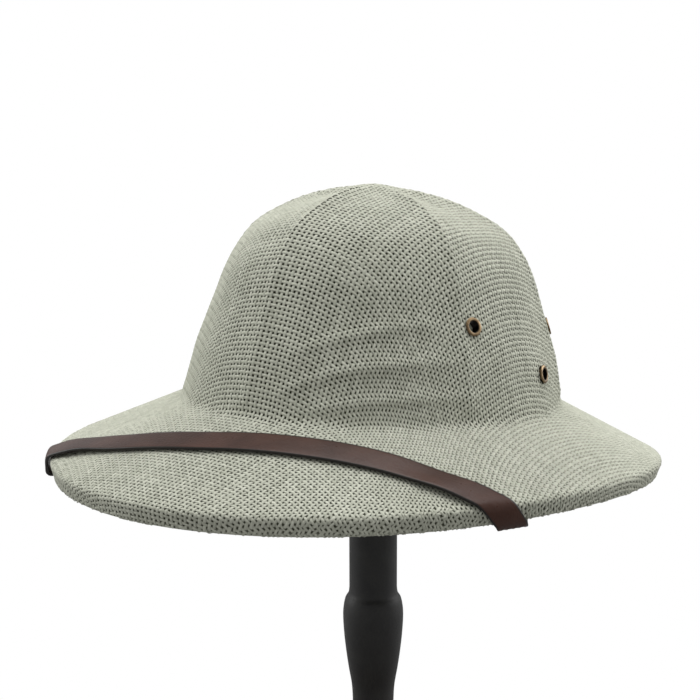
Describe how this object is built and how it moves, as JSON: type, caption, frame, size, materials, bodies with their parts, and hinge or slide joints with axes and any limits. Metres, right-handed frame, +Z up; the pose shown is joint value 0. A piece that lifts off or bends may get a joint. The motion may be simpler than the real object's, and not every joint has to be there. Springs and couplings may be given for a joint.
{
  "type": "pith helmet on a hat stand",
  "caption": "Wide-brimmed domed sun helmet of open woven cloth with a leather chin strap over the front brim and side vents, held on a plain turned hat stand.",
  "frame": {"origin": "centre of the underside of the stand's base, on the floor", "axes": "+Z up along the post, -Y the helmet's front, +X the wearer's left"},
  "size_m": [0.2876, 0.3436, 0.3322],
  "materials": {
    "cloth": "open plain weave, matt",
    "strap_leather": "satin",
    "eyelet_brass": "aged",
    "rivet_brass": "aged",
    "head_wood": "plain",
    "post_wood": "black, satin",
    "base_wood": "brown, satin"
  },
  "bodies": {
    "root": {"helmet_shell": "cloth", "chin_strap": "strap_leather", "eyelet_left_1": "eyelet_brass", "eyelet_left_2": "eyelet_brass", "eyelet_left_3": "eyelet_brass", "eyelet_right_1": "eyelet_brass", "eyelet_right_2": "eyelet_brass", "eyelet_right_3": "eyelet_brass", "strap_rivet_left": "rivet_brass", "strap_rivet_right": "rivet_brass", "stand_head": "head_wood", "stand_post": "post_wood", "stand_base": "base_wood"}
  },
  "joints": []
}
